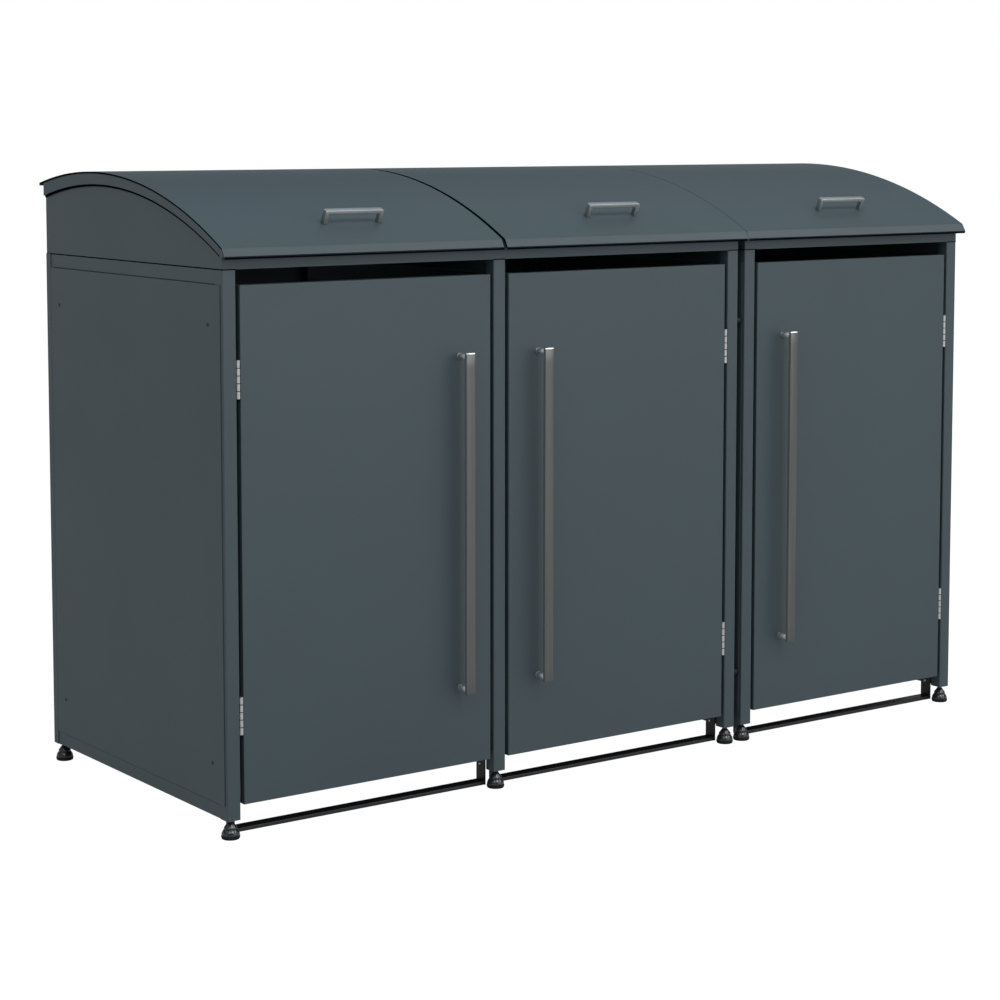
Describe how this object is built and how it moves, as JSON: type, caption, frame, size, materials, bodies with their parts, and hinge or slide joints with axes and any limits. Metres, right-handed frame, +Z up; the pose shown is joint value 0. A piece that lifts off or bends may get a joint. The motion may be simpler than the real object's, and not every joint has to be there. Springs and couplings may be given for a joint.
{
  "type": "wheelie bin store",
  "caption": "Steel store for wheeled refuse bins, with curved lifting lids, folded front doors, long bar handles and levelling feet.",
  "frame": {"origin": "on the ground under the middle of the store's bounding box", "axes": "+X to the right seen from the front, +Y from the doors to the back, +Z up"},
  "size_m": [2.015, 0.828, 1.299],
  "materials": {
    "powder_coat": "fine-textured matt grey powder coat",
    "handle_steel": "satin brushed stainless steel",
    "black_steel": "black powder coat",
    "hinge_steel": "bright zinc plate",
    "black_plastic": "moulded, satin",
    "rubber": "matt"
  },
  "bodies": {
    "store": {"side_frame_1": "powder_coat", "side_frame_2": "powder_coat", "side_frame_3": "powder_coat", "side_frame_4": "powder_coat", "side_frame_5": "powder_coat", "side_panel_1": "powder_coat", "side_panel_2": "powder_coat", "side_panel_3": "powder_coat", "side_panel_4": "powder_coat", "gable_1": "powder_coat", "gable_2": "powder_coat", "gable_3": "powder_coat", "gable_4": "powder_coat", "panel_stiffeners": "powder_coat", "rear_rails": "powder_coat", "back_panel_double": "powder_coat", "back_panel_single": "powder_coat", "header_double": "powder_coat", "header_single": "powder_coat", "hood_back_double": "powder_coat", "hood_back_single": "powder_coat", "centre_arch": "powder_coat", "threshold_1": "black_steel", "threshold_2": "black_steel", "threshold_3": "black_steel", "magnet_catches": "black_plastic", "lid_bumpers": "rubber", "unit_spacers": "hinge_steel", "door_hinge_post_leaves": "hinge_steel", "lid_hinge_frame_leaves": "hinge_steel", "hinge_pins": "hinge_steel"},
    "door_leaf_1": {"door_1": "powder_coat", "door_handle_1": "handle_steel", "door_hinge_leaf_1": "hinge_steel"},
    "lid_cover_1": {"lid_1": "powder_coat", "lid_handle_1": "handle_steel", "lid_hinge_leaf_1": "hinge_steel"},
    "door_leaf_2": {"door_2": "powder_coat", "door_handle_2": "handle_steel", "door_hinge_leaf_2": "hinge_steel"},
    "lid_cover_2": {"lid_2": "powder_coat", "lid_handle_2": "handle_steel", "lid_hinge_leaf_2": "hinge_steel"},
    "door_leaf_3": {"door_3": "powder_coat", "door_handle_3": "handle_steel", "door_hinge_leaf_3": "hinge_steel"},
    "lid_cover_3": {"lid_3": "powder_coat", "lid_handle_3": "handle_steel", "lid_hinge_leaf_3": "hinge_steel"},
    "levelling_foot_1": {"foot_1": "black_plastic"},
    "levelling_foot_2": {"foot_2": "black_plastic"},
    "levelling_foot_3": {"foot_3": "black_plastic"},
    "levelling_foot_4": {"foot_4": "black_plastic"},
    "levelling_foot_5": {"foot_5": "black_plastic"},
    "levelling_foot_6": {"foot_6": "black_plastic"},
    "levelling_foot_7": {"foot_7": "black_plastic"},
    "levelling_foot_8": {"foot_8": "black_plastic"},
    "levelling_foot_9": {"foot_9": "black_plastic"},
    "levelling_foot_10": {"foot_10": "black_plastic"}
  },
  "joints": [
    {"name": "door_1_hinge", "type": "hinge", "parent": "store", "child": "door_leaf_1", "pos_m": [-0.96575, -0.372, 0.5775], "axis": [0, 0, -1], "range_deg": [0, 110]},
    {"name": "door_2_hinge", "type": "hinge", "parent": "store", "child": "door_leaf_2", "pos_m": [0.27575, -0.372, 0.5775], "axis": [0, 0, 1], "range_deg": [0, 110]},
    {"name": "door_3_hinge", "type": "hinge", "parent": "store", "child": "door_leaf_3", "pos_m": [0.96575, -0.372, 0.5775], "axis": [0, 0, 1], "range_deg": [0, 110]},
    {"name": "lid_1_hinge", "type": "hinge", "parent": "store", "child": "lid_cover_1", "pos_m": [-0.6775, 0.403, 1.26736], "axis": [-1, 0, 0], "range_deg": [0, 100]},
    {"name": "lid_2_hinge", "type": "hinge", "parent": "store", "child": "lid_cover_2", "pos_m": [-0.0125, 0.403, 1.26736], "axis": [-1, 0, 0], "range_deg": [0, 100]},
    {"name": "lid_3_hinge", "type": "hinge", "parent": "store", "child": "lid_cover_3", "pos_m": [0.665, 0.403, 1.26736], "axis": [-1, 0, 0], "range_deg": [0, 100]},
    {"name": "foot_1_screw", "type": "hinge", "parent": "store", "child": "levelling_foot_1", "pos_m": [-0.985, -0.359, 0.03], "axis": [0, 0, 1], "continuous": true},
    {"name": "foot_2_screw", "type": "hinge", "parent": "store", "child": "levelling_foot_2", "pos_m": [-0.345, -0.359, 0.03], "axis": [0, 0, 1], "continuous": true},
    {"name": "foot_3_screw", "type": "hinge", "parent": "store", "child": "levelling_foot_3", "pos_m": [0.295, -0.359, 0.03], "axis": [0, 0, 1], "continuous": true},
    {"name": "foot_4_screw", "type": "hinge", "parent": "store", "child": "levelling_foot_4", "pos_m": [0.345, -0.359, 0.03], "axis": [0, 0, 1], "continuous": true},
    {"name": "foot_5_screw", "type": "hinge", "parent": "store", "child": "levelling_foot_5", "pos_m": [0.985, -0.359, 0.03], "axis": [0, 0, 1], "continuous": true},
    {"name": "foot_6_screw", "type": "hinge", "parent": "store", "child": "levelling_foot_6", "pos_m": [-0.985, 0.3815, 0.03], "axis": [0, 0, 1], "continuous": true},
    {"name": "foot_7_screw", "type": "hinge", "parent": "store", "child": "levelling_foot_7", "pos_m": [-0.345, 0.3815, 0.03], "axis": [0, 0, 1], "continuous": true},
    {"name": "foot_8_screw", "type": "hinge", "parent": "store", "child": "levelling_foot_8", "pos_m": [0.295, 0.3815, 0.03], "axis": [0, 0, 1], "continuous": true},
    {"name": "foot_9_screw", "type": "hinge", "parent": "store", "child": "levelling_foot_9", "pos_m": [0.345, 0.3815, 0.03], "axis": [0, 0, 1], "continuous": true},
    {"name": "foot_10_screw", "type": "hinge", "parent": "store", "child": "levelling_foot_10", "pos_m": [0.985, 0.3815, 0.03], "axis": [0, 0, 1], "continuous": true}
  ]
}
